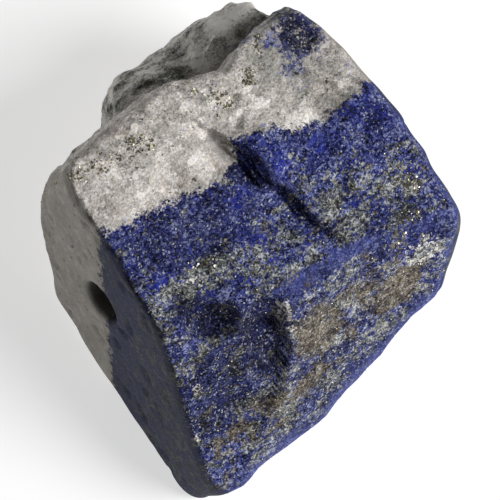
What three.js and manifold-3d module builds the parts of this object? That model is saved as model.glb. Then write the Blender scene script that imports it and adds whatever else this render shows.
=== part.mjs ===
// Rough lapis lazuli: a lump of rock sawn across both ends, drilled through and tumbled.
// Millimetres. It lies on its flat back. +X runs along the drilled hole, +Y towards the ragged
// calcite ledge, and +Z out of the broken front.

import * as THREE from 'three';
import { mergeVertices } from 'three/addons/utils/BufferGeometryUtils.js';
import Module from 'manifold-3d';

const wasm = await Module();
wasm.setup();

// ---- driving dimensions ------------------------------------------------------------------

const sawn = { minusX: -10.25, plusX: 10.45, lean: 0.022 }; // ends at the front, lean of the -X one
const frontHeight = 13.75; // level part of the front above the resting face
const hole = { diameter: 2.7, rimDiameter: 3.3, rimDepth: 0.3, rimOut: 0.01, y: 1.35, z: 7.4, sides: 36 };
const cell = 0.6; // spacing of the relief on the broken faces
const onFace = 1e-4; // how near to a face's plane its points lie
const raw = { halfX: 11.4, halfY: 15, top: 17, bottom: -2 }; // block that the faces are broken from
const beyondRaw = 1; // how far a cutting block reaches past it

// The front: a raised slab on the +X side of a crack, and two broken facets towards -Y.
// Each list holds [position, value] pairs, joined by straight lines.
const crackX = [[-4.5, 2.9], [-2.5, 2.3], [-1, 1.65], [0.7, 1.45], [1.25, 1.25], [1.8, 0.7],
  [3.4, 0.62], [4.4, 0.3], [6, -0.4], [8, -1.4]]; // by y
const crackStep = [[-4.4, 0], [-3.2, 0.2], [-1.5, 0.7], [0.5, 0.7], [1.5, 0.9], [2.5, 1.6],
  [4.2, 1.6], [5.2, 1], [6.6, 0.4], [8.2, 0]]; // by y
const slab = { rise: 0.62, fade: 7 }; // share of the step that stands above the front
const trough = { depth: 0.5, fade: 1.8 }; // share of the step that lies below it
const cornerDrop = { slope: 0.22, fromY: 3.2, fromX: 2, toX: 9 }; // front falls to the +X +Y corner
const leftFacet = { crestHeight: 14, crestY: -1.5, slopeY: 0.88, slopeX: 0.3 };
const farFacet = { crestHeight: 14.3, crestY: -4.35, slopeY: 1.12, crestTurn: 0.22, turnX: 2.6 };
const farFacetEdge = [[-12.5, -8.3], [-10.3, -6], [-8.6, -4.2], [-7.3, -3.1], [-6.3, -2.8],
  [-5.4, -3.1], [-4.4, -2.8], [-3, -2.2]]; // x of its -X edge, by y
const farFacetScarp = [[-11.5, 0], [-9.5, 0.4], [-8, 1], [-6, 1.5], [-4.6, 1.2], [-3.4, 0]]; // by y
const scarpFade = 1.6; // width of the dip at the foot of that edge
const farFacetStart = [-0.5, 0.15]; // from before that edge to past it, where the facet takes over
const crestWidth = 0.7; // over which the level front rounds into the facets
const hollows = [
  { x: -7, y: -3.1, width: 3.8, length: 2.6, turn: -33, depth: 1.4 },
  { x: -4, y: -5.4, width: 2.6, length: 4.4, turn: 10, depth: 1.1 },
  { x: -7.6, y: -7.6, width: 2.6, length: 3.6, turn: -30, depth: 0.5 },
];

// The +Y side: an undercut back, a broken wall under the front's edge, and the ledge.
const wallY = [[-10.4, 9], [-6.8, 9.6], [-4.8, 10], [-2.6, 10.3], [-0.7, 10.25], [0.9, 9.5],
  [2.2, 9], [3.3, 9.5], [4.4, 9.9], [7.5, 10.1], [8.4, 10.05], [9.3, 9.5], [10.4, 9]]; // by x
const ledgeY = [[-3.9, 9.5], [-3.4, 11.2], [-2.6, 12], [-1.3, 12.55], [0.5, 12.65], [4.5, 12.55],
  [6.6, 12.4], [7.1, 12.1], [7.6, 11.1], [8.8, 9.8]]; // outermost y of the ledge, by x
const ledgeTop = { inward: 0.4, outward: 0.85 }; // slopes to both sides of its crest
const ledgeCrest = [[-4, 0.2], [0, 0.3], [2, 0.9], [7.5, 1.3]]; // distance from the wall, by x
const ledgeCrestZ = [[-4, 9.8], [-1, 10.1], [2.2, 9.6], [4.5, 10.4], [7.5, 10.8]]; // by x
const undercut = { slope: 1.25, y: [[-10.4, 2.9], [-2, 7], [10.4, 7.6]] }; // y where it meets z = 0

// The -Y side, nearly upright and drawn in below its widest height.
const rimY = [[-10.4, -12.55], [-9.5, -12.8], [-8.2, -12.75], [-7, -12.45], [-5, -12.25],
  [-2.6, -12.15], [-1.6, -12], [0.2, -11.45], [1.5, -11.15], [3.1, -10.7], [5.4, -9.85],
  [7, -9.55], [7.9, -9.4], [8.4, -9], [9.4, -8.75], [10.4, -8.6]]; // by x
const drawIn = { below: 7, slope: 0.1 };

// Planes cut off the broken lump: direction it faces and a point on it.
const cuts = [
  { faces: [0.993, 0.122, 0], at: [sawn.plusX, 0.9, 0] }, // second sawn plane at the +X end
  { faces: [0.68, -0.72, 0.15], at: [sawn.plusX, -6.8, 10] }, // corner between +X and -Y
];
// Edges worn down by tumbling, in the same form.
const wornEdges = [
  { faces: [-0.7, 0, 0.7], at: [sawn.minusX, 0, 13.4] },
  { faces: [-0.8, -0.4, 0.45], at: [sawn.minusX, -4, 11.2] },
  { faces: [-0.7, 0, -0.7], at: [sawn.minusX, 0, -0.1] },
  { faces: [0.7, 0, -0.7], at: [sawn.plusX, 0, 0.4] },
  { faces: [0.7, 0, 0.7], at: [sawn.plusX, 0, 12.5] },
  { faces: [-0.7, 0.7, 0], at: [sawn.minusX, 8.4, 0] },
  { faces: [-0.7, -0.7, 0], at: [sawn.minusX, -11.9, 0] },
];

// The resting face: level in an ellipse, and broken away a little around it.
const rest = {
  x: -0.6, y: -3, halfX: 7.6, halfY: 5.6, reach: 1.5, rise: 0.16, lumps: 0.35, lumpAcross: 3, cutOff: 0.1,
};

// Lumps of the broken faces, as size across and half height.
const frontLumps = [{ across: 3.4, height: 0.28 }, { across: 1.4, height: 0.16 }];
const sideLumps = [{ across: 4, height: 0.32 }, { across: 1.6, height: 0.2 }];
const lowerShare = 0.6; // how high the side lumps are on the ledge and the -Y side
const lumpsFrom = { back: 80, ledge: 40, rim: 120 }; // start along x, so that no two sides are alike

// ---- shape functions ---------------------------------------------------------------------

// Value at v on a line through [position, value] pairs.
function along(points, v) {
  const next = points.findIndex(([position]) => position > v);
  if (next === 0) return points[0][1];
  if (next < 0) return points[points.length - 1][1];
  const [p0, v0] = points[next - 1];
  const [p1, v1] = points[next];
  return v0 + ((v - p0) / (p1 - p0)) * (v1 - v0);
}

// Smaller of two heights, rounded where they cross over a band of the given width.
function roundedMin(a, b, width) {
  const share = THREE.MathUtils.clamp(0.5 + (0.5 * (b - a)) / width, 0, 1);
  return b * (1 - share) + a * share - width * share * (1 - share);
}

// Fixed number from 0 to 1 for a lattice corner.
function cornerValue(i, j) {
  const wave = Math.sin(i * 127.1 + j * 311.7) * 43758.5453;
  return wave - Math.floor(wave);
}

// Smooth lumps from -1 to 1 of the given size across.
function lumps(u, v, across) {
  const i = Math.floor(u / across);
  const j = Math.floor(v / across);
  const s = THREE.MathUtils.smoothstep(u / across - i, 0, 1);
  const t = THREE.MathUtils.smoothstep(v / across - j, 0, 1);
  const near = cornerValue(i, j) * (1 - s) + cornerValue(i + 1, j) * s;
  const far = cornerValue(i, j + 1) * (1 - s) + cornerValue(i + 1, j + 1) * s;
  return 2 * (near * (1 - t) + far * t) - 1;
}

function relief(list, u, v) {
  return list.reduce((sum, lump) => sum + lump.height * lumps(u, v, lump.across), 0);
}

// Depth of a round-bottomed hollow below the surface around it.
function hollowDepth(hollow, x, y) {
  const turn = THREE.MathUtils.degToRad(hollow.turn);
  const dx = x - hollow.x;
  const dy = y - hollow.y;
  const u = (dx * Math.cos(turn) + dy * Math.sin(turn)) / (hollow.width / 2);
  const v = (dy * Math.cos(turn) - dx * Math.sin(turn)) / (hollow.length / 2);
  return hollow.depth * Math.max(0, 1 - u * u - v * v);
}

// Height of the front above the resting face, for the slab or for what lies beside it.
function frontZ(x, y, onSlab) {
  const beyond = x - along(crackX, y);
  const step = along(crackStep, y);
  const up = slab.rise * step * Math.exp(-Math.max(beyond, 0) / slab.fade);
  const down = trough.depth * step * Math.exp(-Math.max(-beyond, 0) / trough.fade);
  const corner = THREE.MathUtils.smoothstep(x, cornerDrop.fromX, cornerDrop.toX);
  const fall = cornerDrop.slope * Math.max(0, y - cornerDrop.fromY) * corner;
  const level = frontHeight + (onSlab ? up : -down) - fall;
  const beside = x - along(farFacetEdge, y);
  const left = leftFacet.crestHeight - leftFacet.slopeY * (leftFacet.crestY - y)
    + leftFacet.slopeX * (x - sawn.minusX)
    - along(farFacetScarp, y) * Math.exp(-Math.max(-beside, 0) / scarpFade);
  const crestY = farFacet.crestY - farFacet.crestTurn * Math.max(0, x - farFacet.turnX);
  const far = farFacet.crestHeight - farFacet.slopeY * (crestY - y);
  const onFar = THREE.MathUtils.smoothstep(beside, ...farFacetStart);
  const broken = left * (1 - onFar) + far * onFar;
  const dug = hollows.reduce((sum, hollow) => sum + hollowDepth(hollow, x, y), 0);
  return roundedMin(level, broken, crestWidth) - dug + relief(frontLumps, x, y);
}

// Y of the undercut back.
function backY(x, z) {
  return along(undercut.y, x) + z / undercut.slope + relief(sideLumps, x + lumpsFrom.back, z);
}

// Y of the wall under the front's edge, and of the ledge's outer side.
function wallSideY(x, z) {
  return Math.min(along(wallY, x) + relief(sideLumps, x, z), backY(x, z));
}

function ledgeSideY(x, z) {
  const side = along(ledgeY, x) + lowerShare * relief(sideLumps, x + lumpsFrom.ledge, z);
  return Math.min(side, backY(x, z));
}

// Height of the ledge's top, which falls from a crest to the wall's foot and outwards.
function ledgeZ(x, y) {
  const out = y - along(wallY, x) - along(ledgeCrest, x);
  const fall = out < 0 ? -out * ledgeTop.inward : out * ledgeTop.outward;
  return along(ledgeCrestZ, x) - fall + lowerShare * relief(sideLumps, x + lumpsFrom.ledge, y);
}

// Y of the -Y side.
function rimSideY(x, z) {
  return along(rimY, x) + drawIn.slope * Math.max(0, drawIn.below - z)
    + lowerShare * relief(sideLumps, x + lumpsFrom.rim, z);
}

// Height of the underside: below zero, and so cut off level, where it rests.
function restZ(x, y) {
  const out = Math.hypot((x - rest.x) / rest.halfX, (y - rest.y) / rest.halfY);
  const lift = rest.rise + rest.lumps * (0.5 + 0.5 * lumps(x, y, rest.lumpAcross));
  return (lift + rest.cutOff) * THREE.MathUtils.smoothstep(out, 1, rest.reach) - rest.cutOff;
}

// ---- solids ------------------------------------------------------------------------------

// Manifold solid of a closed geometry.
function solid(geometry) {
  geometry.deleteAttribute('normal');
  geometry.deleteAttribute('uv');
  const merged = mergeVertices(geometry);
  return new wasm.Manifold(new wasm.Mesh({
    numProp: 3,
    vertProperties: merged.attributes.position.array,
    triVerts: new Uint32Array(merged.index.array),
  }));
}

// Box from low to high with its chosen outer face pushed to a broken surface.
function reliefBlock(low, high, cells, axis, outer, surface) {
  const size = high.map((value, i) => value - low[i]);
  const geometry = new THREE.BoxGeometry(...size, ...cells);
  geometry.translate(...high.map((value, i) => (value + low[i]) / 2));
  const position = geometry.attributes.position;
  for (let i = 0; i < position.count; i += 1) {
    const point = [position.getX(i), position.getY(i), position.getZ(i)];
    if (Math.abs(point[axis] - outer) < onFace) {
      point[axis] = surface(...point);
      position.setXYZ(i, ...point);
    }
  }
  return solid(geometry);
}

function trim(body, { faces, at }) {
  const facing = new THREE.Vector3(...faces).normalize();
  const offset = facing.dot(new THREE.Vector3(...at));
  return body.trimByPlane(facing.negate().toArray(), -offset);
}

// Upright block over the whole slab, its -X side along the crack.
function slabOutline() {
  const outline = new THREE.Shape();
  outline.moveTo(raw.halfX + beyondRaw, -raw.halfY);
  outline.lineTo(raw.halfX + beyondRaw, raw.halfY);
  for (const [y, x] of [...crackX].reverse()) outline.lineTo(x, y);
  const depth = raw.top - raw.bottom + 2 * beyondRaw;
  const block = new THREE.ExtrudeGeometry(outline, { depth, bevelEnabled: false, steps: 1 });
  return solid(block.translate(0, 0, raw.bottom - beyondRaw));
}

// Raw block with a relief of cells on its chosen outer face: its top, a side or the underside.
function brokenBlock(axis, outer, surface, spacing = cell) {
  const low = [-raw.halfX, -raw.halfY, raw.bottom];
  const high = [raw.halfX, raw.halfY, raw.top];
  const cells = high.map((value, i) => (i === axis ? 1 : Math.round((value - low[i]) / spacing)));
  return reliefBlock(low, high, cells, axis, outer, surface);
}

function topped(surface) {
  return brokenBlock(2, raw.top, surface);
}

function faced(outer, surface) {
  return brokenBlock(1, outer, (x, y, z) => surface(x, z));
}

function brokenLump() {
  const beside = topped((x, y) => frontZ(x, y, false));
  const raised = topped((x, y) => frontZ(x, y, true));
  const main = beside.add(raised.intersect(slabOutline())).intersect(faced(raw.halfY, wallSideY));
  const shelf = topped(ledgeZ).intersect(faced(raw.halfY, ledgeSideY));
  const underside = brokenBlock(2, raw.bottom, restZ, 2 * cell);
  return main.add(shelf).intersect(faced(-raw.halfY, rimSideY)).intersect(underside);
}

// The drilled hole, with a worn rim at both ends.
function drill() {
  const { diameter, rimDiameter, rimDepth, rimOut, sides: count } = hole;
  const bore = solid(new THREE.CylinderGeometry(
    diameter / 2, diameter / 2, 2 * raw.halfX, count,
  ).rotateZ(Math.PI / 2));
  const rim = solid(new THREE.CylinderGeometry(
    rimDiameter / 2, diameter / 2, rimDepth, count,
  ).rotateZ(-Math.PI / 2).translate(rimOut - rimDepth / 2, 0, 0));
  const minusMouth = sawn.minusX - sawn.lean * (frontHeight - hole.z);
  const rims = rim.translate([sawn.plusX, 0, 0]).add(rim.mirror([1, 0, 0]).translate([minusMouth, 0, 0]));
  return bore.add(rims).translate([0, hole.y, hole.z]);
}

function lapisStone() {
  let body = brokenLump();
  const flats = [
    { faces: [1, 0, 0], at: [sawn.plusX, 0, 0] },
    { faces: [-1, 0, sawn.lean], at: [sawn.minusX, 0, frontHeight] },
    { faces: [0, 0, -1], at: [0, 0, 0] },
  ];
  for (const cut of [...flats, ...cuts, ...wornEdges]) body = trim(body, cut);
  return body.subtract(drill());
}

// Geometry of a solid, flat shaded.
function geometryOf(body) {
  const mesh = body.getMesh();
  const geometry = new THREE.BufferGeometry();
  geometry.setAttribute('position', new THREE.BufferAttribute(mesh.vertProperties, 3));
  geometry.setIndex(new THREE.BufferAttribute(mesh.triVerts, 1));
  const flat = geometry.toNonIndexed();
  flat.computeVertexNormals();
  return flat;
}

const lapis = new THREE.MeshStandardMaterial({ color: 0x3f4672, roughness: 0.75, metalness: 0 });
const stoneMesh = new THREE.Mesh(geometryOf(lapisStone()), lapis);
stoneMesh.name = 'lapis_stone';

const object = new THREE.Group();
object.name = 'rough_lapis_lazuli';
object.add(stoneMesh);

export default object;
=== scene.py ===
import math

import bpy
import numpy as np
from mathutils import Matrix, Vector


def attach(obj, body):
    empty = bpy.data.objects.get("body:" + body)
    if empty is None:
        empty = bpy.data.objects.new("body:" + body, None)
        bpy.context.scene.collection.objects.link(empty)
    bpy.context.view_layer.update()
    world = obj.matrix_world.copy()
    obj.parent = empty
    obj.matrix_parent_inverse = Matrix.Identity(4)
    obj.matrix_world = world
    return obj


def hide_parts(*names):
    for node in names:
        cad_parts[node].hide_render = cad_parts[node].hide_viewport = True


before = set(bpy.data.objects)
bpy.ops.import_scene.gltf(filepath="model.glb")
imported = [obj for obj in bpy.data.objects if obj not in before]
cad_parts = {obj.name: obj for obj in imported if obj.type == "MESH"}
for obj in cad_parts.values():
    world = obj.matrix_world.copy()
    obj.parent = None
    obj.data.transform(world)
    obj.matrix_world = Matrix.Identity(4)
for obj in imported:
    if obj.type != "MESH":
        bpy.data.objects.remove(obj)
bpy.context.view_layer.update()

# Rough lapis lazuli, sawn across both ends, drilled through and tumbled.
# It lies on its flat back. +X runs along the hole, +Y towards the calcite ledge, +Z out of the front.
# Shapes are worked out in millimetres and put into the meshes in metres.

mm = 0.001

stone = {
    "sawnX": (-10.25, 10.45),  # the sawn ends at the front
    "sawnLean": 0.022,  # the -X end leans out by this share of the depth below the front
    "frontHeight": 13.75,
    "wear": 0.55, "wearLumps": (1.8, 0.5),  # radius of the tumbled edges, and how it varies
    "wearMore": 0.7, "wearMoreX": (2, 8),  # and grows towards +X
    # the crack and the slab beside it, as [y, value] pairs
    "crackX": [[-4.5, 2.9], [-2.5, 2.3], [-1, 1.65], [0.7, 1.45], [1.25, 1.25], [1.8, 0.7],
               [3.4, 0.62], [4.4, 0.3], [6, -0.4], [8, -1.4]],
    "crackStep": [[-4.4, 0], [-3.2, 0.2], [-1.5, 0.7], [0.5, 0.7], [1.5, 0.9], [2.5, 1.6],
                  [4.2, 1.6], [5.2, 1], [6.6, 0.4], [8.2, 0]],
    "crackWall": (-0.22, 0.06),  # it climbs between these distances from the crack's line
    "slabRise": 0.62, "slabFade": 7, "troughDepth": 0.5, "troughFade": 1.8,
    "cornerSlope": 0.22, "cornerFromY": 3.2, "cornerX": (2, 9),
    "leftCrest": (-1.5, 14), "leftSlopeY": 0.88, "leftSlopeX": 0.3,
    "farCrest": (-4.35, 14.3), "farSlope": 1.12, "farTurn": 0.22, "farTurnX": 2.6,
    "farEdge": [[-12.5, -8.3], [-10.3, -6], [-8.6, -4.2], [-7.3, -3.1], [-6.3, -2.8],
                [-5.4, -3.1], [-4.4, -2.8], [-3, -2.2]],
    "farEdgeWall": (-0.5, 0.15), "crestRounding": 0.7,
    "farScarp": [[-11.5, 0], [-9.5, 0.4], [-8, 1], [-6, 1.5], [-4.6, 1.2], [-3.4, 0]], "scarpFade": 1.6,
    # x, y, width, length, turn in degrees, depth
    "hollows": [(-7, -3.1, 3.8, 2.6, -33, 1.4), (-4, -5.4, 2.6, 4.4, 10, 1.1),
                (-7.6, -7.6, 2.6, 3.6, -30, 0.5)],
    "wallY": [[-10.4, 9], [-6.8, 9.6], [-4.8, 10], [-2.6, 10.3], [-0.7, 10.25], [0.9, 9.5], [2.2, 9],
              [3.3, 9.5], [4.4, 9.9], [7.5, 10.1], [8.4, 10.05], [9.3, 9.5], [10.4, 9]],
    "ledgeY": [[-3.9, 9.5], [-3.4, 11.2], [-2.6, 12], [-1.3, 12.55], [0.5, 12.65], [4.5, 12.55],
               [6.6, 12.4], [7.1, 12.1], [7.6, 11.1], [8.8, 9.8]],
    "ledgeCrest": [[-4, 0.2], [0, 0.3], [2, 0.9], [7.5, 1.3]],  # crest's distance from the wall
    "ledgeInward": 0.4, "ledgeOutward": 0.85,  # slopes to both sides of it
    "ledgeCrestZ": [[-4, 9.8], [-1, 10.1], [2.2, 9.6], [4.5, 10.4], [7.5, 10.8]],
    "valleyRounding": 0.2,
    "undercutY": [[-10.4, 2.9], [-2, 7], [10.4, 7.6]], "undercutSlope": 1.25,
    "rimY": [[-10.4, -12.55], [-9.5, -12.8], [-8.2, -12.75], [-7, -12.45], [-5, -12.25],
             [-2.6, -12.15], [-1.6, -12], [0.2, -11.45], [1.5, -11.15], [3.1, -10.7],
             [5.4, -9.85], [7, -9.55], [7.9, -9.4], [8.4, -9], [9.4, -8.75], [10.4, -8.6]],
    "drawInBelow": 7, "drawInSlope": 0.1,
    "rest": (-0.6, -3, 7.6, 5.6), "restReach": 1.5,  # middle, half sizes, and how far it is broken around
    "restRise": 0.16, "restLumps": (3, 0.35), "restCutOff": 0.1, "restRounding": 0.35,
    # planes that cut the lump: the way each faces, and a point on it
    "cuts": [((0.993, 0.122, 0), (10.45, 0.9, 0)), ((0.68, -0.72, 0.15), (10.45, -6.8, 10)),
             ((-0.7, 0.7, 0), (-10.25, 8.4, 0)), ((-0.7, -0.7, 0), (-10.25, -11.9, 0))],
    "cutRounding": 0.9,
    # a leaning face's distance for each millimetre that is measured straight up or across
    "slant": {"front": 0.85, "ledge": 0.9, "undercut": 0.7, "rim": 0.95},
    "frontLumps": [(3.4, 0.28), (1.4, 0.16)],  # size across and half height
    "sideLumps": [(4, 0.32), (1.6, 0.2)],
    # where the lumps start on each side, and their share there
    "sides": {"wall": (0, 1), "ledge": (40, 0.6), "undercut": (80, 1), "rim": (120, 0.6)},
    "holeY": 1.35, "holeZ": 7.4, "holeRadius": 1.35, "holeWear": 0.5,
}


def along(points, v):  # straight lines through [position, value] pairs
    pairs = np.array(points, float)
    return np.interp(v, pairs[:, 0], pairs[:, 1])


def easeStep(low, high, v):  # 3 t^2 - 2 t^3, with t the share of the way from low to high
    t = np.clip((v - low) / (high - low), 0, 1)
    return t * t * (3 - 2 * t)


def roundedMin(a, b, width):  # the smaller of two, less a parabola where they are within the width
    share = np.clip(0.5 + 0.5 * (b - a) / width, 0, 1)
    return b * (1 - share) + a * share - width * share * (1 - share)


def roundedMax(a, b, width):  # the larger of two, plus the same
    return -roundedMin(-a, -b, width)


def cornerValue(i, j, k=0):  # fraction of a fast sine of the lattice corner, from 0 to 1
    wave = np.sin(i * 127.1 + j * 311.7 + k * 74.7) * 43758.5453
    return wave - np.floor(wave)


def lumps(u, v, across):  # corner values of a square lattice, eased from corner to corner
    i, j = np.floor(u / across), np.floor(v / across)
    s, t = easeStep(0, 1, u / across - i), easeStep(0, 1, v / across - j)
    near = cornerValue(i, j) * (1 - s) + cornerValue(i + 1, j) * s
    far = cornerValue(i, j + 1) * (1 - s) + cornerValue(i + 1, j + 1) * s
    return 2 * (near * (1 - t) + far * t) - 1


def lumpsInSpace(x, y, z, across):  # the same on a cubic lattice, turned so that no face lines up with it
    u = (0.80 * x + 0.36 * y - 0.48 * z) / across
    v = (-0.60 * x + 0.48 * y - 0.64 * z) / across
    w = (0.80 * y + 0.60 * z) / across
    i, j, k = np.floor(u), np.floor(v), np.floor(w)
    a, b, c = easeStep(0, 1, u - i), easeStep(0, 1, v - j), easeStep(0, 1, w - k)
    total = 0
    for di in (0, 1):
        for dj in (0, 1):
            for dk in (0, 1):
                share = (a if di else 1 - a) * (b if dj else 1 - b) * (c if dk else 1 - c)
                total = total + share * cornerValue(i + di, j + dj, k + dk)
    return 2 * total - 1


def relief(sizes, u, v):  # sum of lumps of each size
    return sum(height * lumps(u, v, across) for across, height in sizes)


def acrossEllipse(ellipse, x, y):  # distances along its two axes, 1 at the rim
    middleX, middleY, width, length, degrees = ellipse
    turn = math.radians(degrees)
    dx, dy = x - middleX, y - middleY
    u = (dx * math.cos(turn) + dy * math.sin(turn)) / (width / 2)
    v = (dy * math.cos(turn) - dx * math.sin(turn)) / (length / 2)
    return u, v


def hollowDepth(hollow, x, y):  # depth times (1 - distance squared), in an ellipse
    *ellipse, depth = hollow
    u, v = acrossEllipse(ellipse, x, y)
    return depth * np.clip(1 - u * u - v * v, 0, 1)


def farCrestY(x):  # the worn ridge's line, straight and then turning away towards +X
    return stone["farCrest"][0] - stone["farTurn"] * np.maximum(0, x - stone["farTurnX"])


def offAxis(y, z):  # distance from the hole's axis
    return np.hypot(y - stone["holeY"], z - stone["holeZ"])


def sideRelief(name, x, v):  # the sides' lumps, which start elsewhere on each side
    start, share = stone["sides"][name]
    return share * relief(stone["sideLumps"], x + start, v)


def frontZ(x, y):  # level front with its slab, or the two broken facets where they are lower
    beyond = x - along(stone["crackX"], y)
    step = along(stone["crackStep"], y)
    onSlab = easeStep(*stone["crackWall"], beyond)
    up = stone["slabRise"] * step * np.exp(-np.maximum(beyond, 0) / stone["slabFade"])
    down = stone["troughDepth"] * step * np.exp(-np.maximum(-beyond, 0) / stone["troughFade"])
    corner = easeStep(*stone["cornerX"], x)
    fall = stone["cornerSlope"] * np.maximum(0, y - stone["cornerFromY"]) * corner
    level = stone["frontHeight"] + up * onSlab - down * (1 - onSlab) - fall
    crestY, crestZ = stone["leftCrest"]
    beside = x - along(stone["farEdge"], y)
    left = crestZ - stone["leftSlopeY"] * (crestY - y) + stone["leftSlopeX"] * (x - stone["sawnX"][0])
    left = left - along(stone["farScarp"], y) * np.exp(-np.maximum(-beside, 0) / stone["scarpFade"])
    far = stone["farCrest"][1] - stone["farSlope"] * (farCrestY(x) - y)
    onFar = easeStep(*stone["farEdgeWall"], beside)
    broken = left * (1 - onFar) + far * onFar
    dug = sum(hollowDepth(hollow, x, y) for hollow in stone["hollows"])
    return roundedMin(level, broken, stone["crestRounding"]) - dug + relief(stone["frontLumps"], x, y)


def backY(x, z):  # the undercut back, a slope with lumps
    return along(stone["undercutY"], x) + z / stone["undercutSlope"] + sideRelief("undercut", x, z)


def ledgeZ(x, y):  # falls from a crest to the wall's foot and outwards
    out = y - along(stone["wallY"], x) - along(stone["ledgeCrest"], x)
    fall = np.where(out < 0, -out * stone["ledgeInward"], out * stone["ledgeOutward"])
    return along(stone["ledgeCrestZ"], x) - fall + sideRelief("ledge", x, y)


def rimSideY(x, z):  # nearly upright, drawn in below its widest height
    drawIn = stone["drawInSlope"] * np.maximum(0, stone["drawInBelow"] - z)
    return along(stone["rimY"], x) + drawIn + sideRelief("rim", x, z)


def restZ(x, y):  # zero where it rests, and broken away a little around that
    middleX, middleY, halfX, halfY = stone["rest"]
    out = np.hypot((x - middleX) / halfX, (y - middleY) / halfY)
    across, height = stone["restLumps"]
    lift = stone["restRise"] + height * (0.5 + 0.5 * lumps(x, y, across))
    cutOff = stone["restCutOff"]
    return np.maximum(0, (lift + cutOff) * easeStep(1, stone["restReach"], out) - cutOff)


def endDepth(x, y, z):  # how far outside the sawn ends a point is, negative inside
    lean = stone["sawnLean"] * (stone["frontHeight"] - z)
    minusX, plusX = stone["sawnX"]
    out = np.maximum(x - plusX, minusX - lean - x)
    for faces, at in stone["cuts"]:
        size = math.sqrt(sum(v * v for v in faces))
        plane = ((x - at[0]) * faces[0] + (y - at[1]) * faces[1] + (z - at[2]) * faces[2]) / size
        out = roundedMax(out, plane, stone["cutRounding"])
    return out


def brokenDepth(x, y, z):  # the same for the broken faces: front and wall, with the ledge, then the rest
    wear, slant = stone["wear"], stone["slant"]
    wall = y - along(stone["wallY"], x) - sideRelief("wall", x, z)
    main = roundedMax((z - frontZ(x, y)) * slant["front"], wall * slant["front"], wear)
    ledgeSide = y - along(stone["ledgeY"], x) - sideRelief("ledge", x, z)
    ledge = roundedMax((z - ledgeZ(x, y)) * slant["ledge"], ledgeSide * slant["ledge"], 2 * wear)
    out = roundedMin(main, ledge, stone["valleyRounding"])
    out = roundedMax(out, (y - backY(x, z)) * slant["undercut"], wear)
    out = roundedMax(out, (rimSideY(x, z) - y) * slant["rim"], wear)
    return roundedMax(out, restZ(x, y) - z, stone["restRounding"])


def stoneDepth(x, y, z):  # the whole stone, less the drilled hole
    across, share = stone["wearLumps"]
    wear = stone["wear"] * (1 + share * lumpsInSpace(x, y, z, across))
    wear = wear * (1 + stone["wearMore"] * easeStep(*stone["wearMoreX"], x))
    out = roundedMax(brokenDepth(x, y, z), endDepth(x, y, z), wear)
    return roundedMax(out, stone["holeRadius"] - offAxis(y, z), stone["holeWear"])


# The mesh's points, in millimetres.
grid = {
    "spacing": 0.182,
    "low": (-12.7, 0.0), "high": (12.6, 14.2),  # y and z of the rectangle that the rays are aimed at
    "endReach": 7.5, "boreSteps": 30,
    "coreRadius": 2.4, "coreShare": 0.7, "coreEnds": (0.75, 0.82),  # the core line, shorter than the stone
    "lean": 3, "leanY": (-5, -1.5), "leanZ": (4, 6),  # over the front
    "firstStep": 0.1, "walk": 22, "walkShare": 0.8, "halvings": 8, "bracket": (0.05, 0.25),
}


def loopOfBox(low, high, spacing):  # points round a rectangle, anticlockwise, evenly spaced on each side
    corners = [(low[0], low[1]), (high[0], low[1]), (high[0], high[1]), (low[0], high[1])]
    runs = []
    for start, end in zip(corners, corners[1:] + corners[:1]):
        steps = max(2, round(math.dist(start, end) / spacing))
        share = np.arange(steps)[:, None] / steps
        runs.append(np.array(start) * (1 - share) + np.array(end) * share)
    return np.vstack(runs)


def stonePoints():
    # Two parameters: u runs round the hole, and v runs round a section from one sawn end over the
    # outside to the other and back through the hole. From a core line near the hole, a ray goes
    # towards each lattice point until it leaves the stone.
    lowX, highX = stone["sawnX"]
    spacing = grid["spacing"]
    axis = np.array([stone["holeY"], stone["holeZ"]])
    rimYz = loopOfBox(grid["low"], grid["high"], spacing) - axis
    reach = np.hypot(*rimYz.T)[:, None]
    outward = rimYz / reach
    endSteps, boreSteps = round(grid["endReach"] / spacing), grid["boreSteps"]
    overSteps = round((highX - lowX) / spacing)
    radius = np.concatenate([
        np.linspace(0, 1, endSteps, endpoint=False), np.ones(overSteps),
        np.linspace(1, 0, endSteps, endpoint=False), np.zeros(boreSteps),
    ])[None, :]
    share = 0.5 + 0.5 * np.cos(np.linspace(0, math.pi, boreSteps, endpoint=False))
    targetX = np.concatenate([
        np.full(endSteps, lowX), np.linspace(lowX, highX, overSteps, endpoint=False),
        np.full(endSteps, highX), lowX + (highX - lowX) * share,
    ])[None, :] + 0 * reach
    targetR = stone["holeRadius"] + (reach - stone["holeRadius"]) * radius
    # rays lean to -X over the front, so that the crack's wall is met from behind
    overFront = easeStep(*grid["leanY"], rimYz[:, :1] + axis[0]) * easeStep(*grid["leanZ"], rimYz[:, 1:])
    shift = grid["lean"] * overFront
    coreLow, coreHigh = grid["coreEnds"]
    startX = np.clip(grid["coreShare"] * targetX + shift, coreLow * lowX, coreHigh * highX)
    startR = grid["coreRadius"]
    dx, dr = targetX - startX, targetR - startR
    length = np.hypot(dx, dr)

    def place(t):  # a point on each ray, at the share t of its length
        r = startR + dr * t
        return startX + dx * t, axis[0] + outward[:, :1] * r, axis[1] + outward[:, 1:] * r

    t = np.full(dr.shape, grid["firstStep"])
    for _ in range(grid["walk"]):  # walk on by the depth that is left, less and less
        t = t + grid["walkShare"] * np.maximum(-stoneDepth(*place(t)), 0) / length
    back, onward = grid["bracket"]
    inside, outside = t - back / length, t + onward / length
    for _ in range(grid["halvings"]):  # then halve the step
        middle = (inside + outside) / 2
        out = stoneDepth(*place(middle)) > 0
        outside = np.where(out, middle, outside)
        inside = np.where(out, inside, middle)
    return place((inside + outside) / 2)


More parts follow.
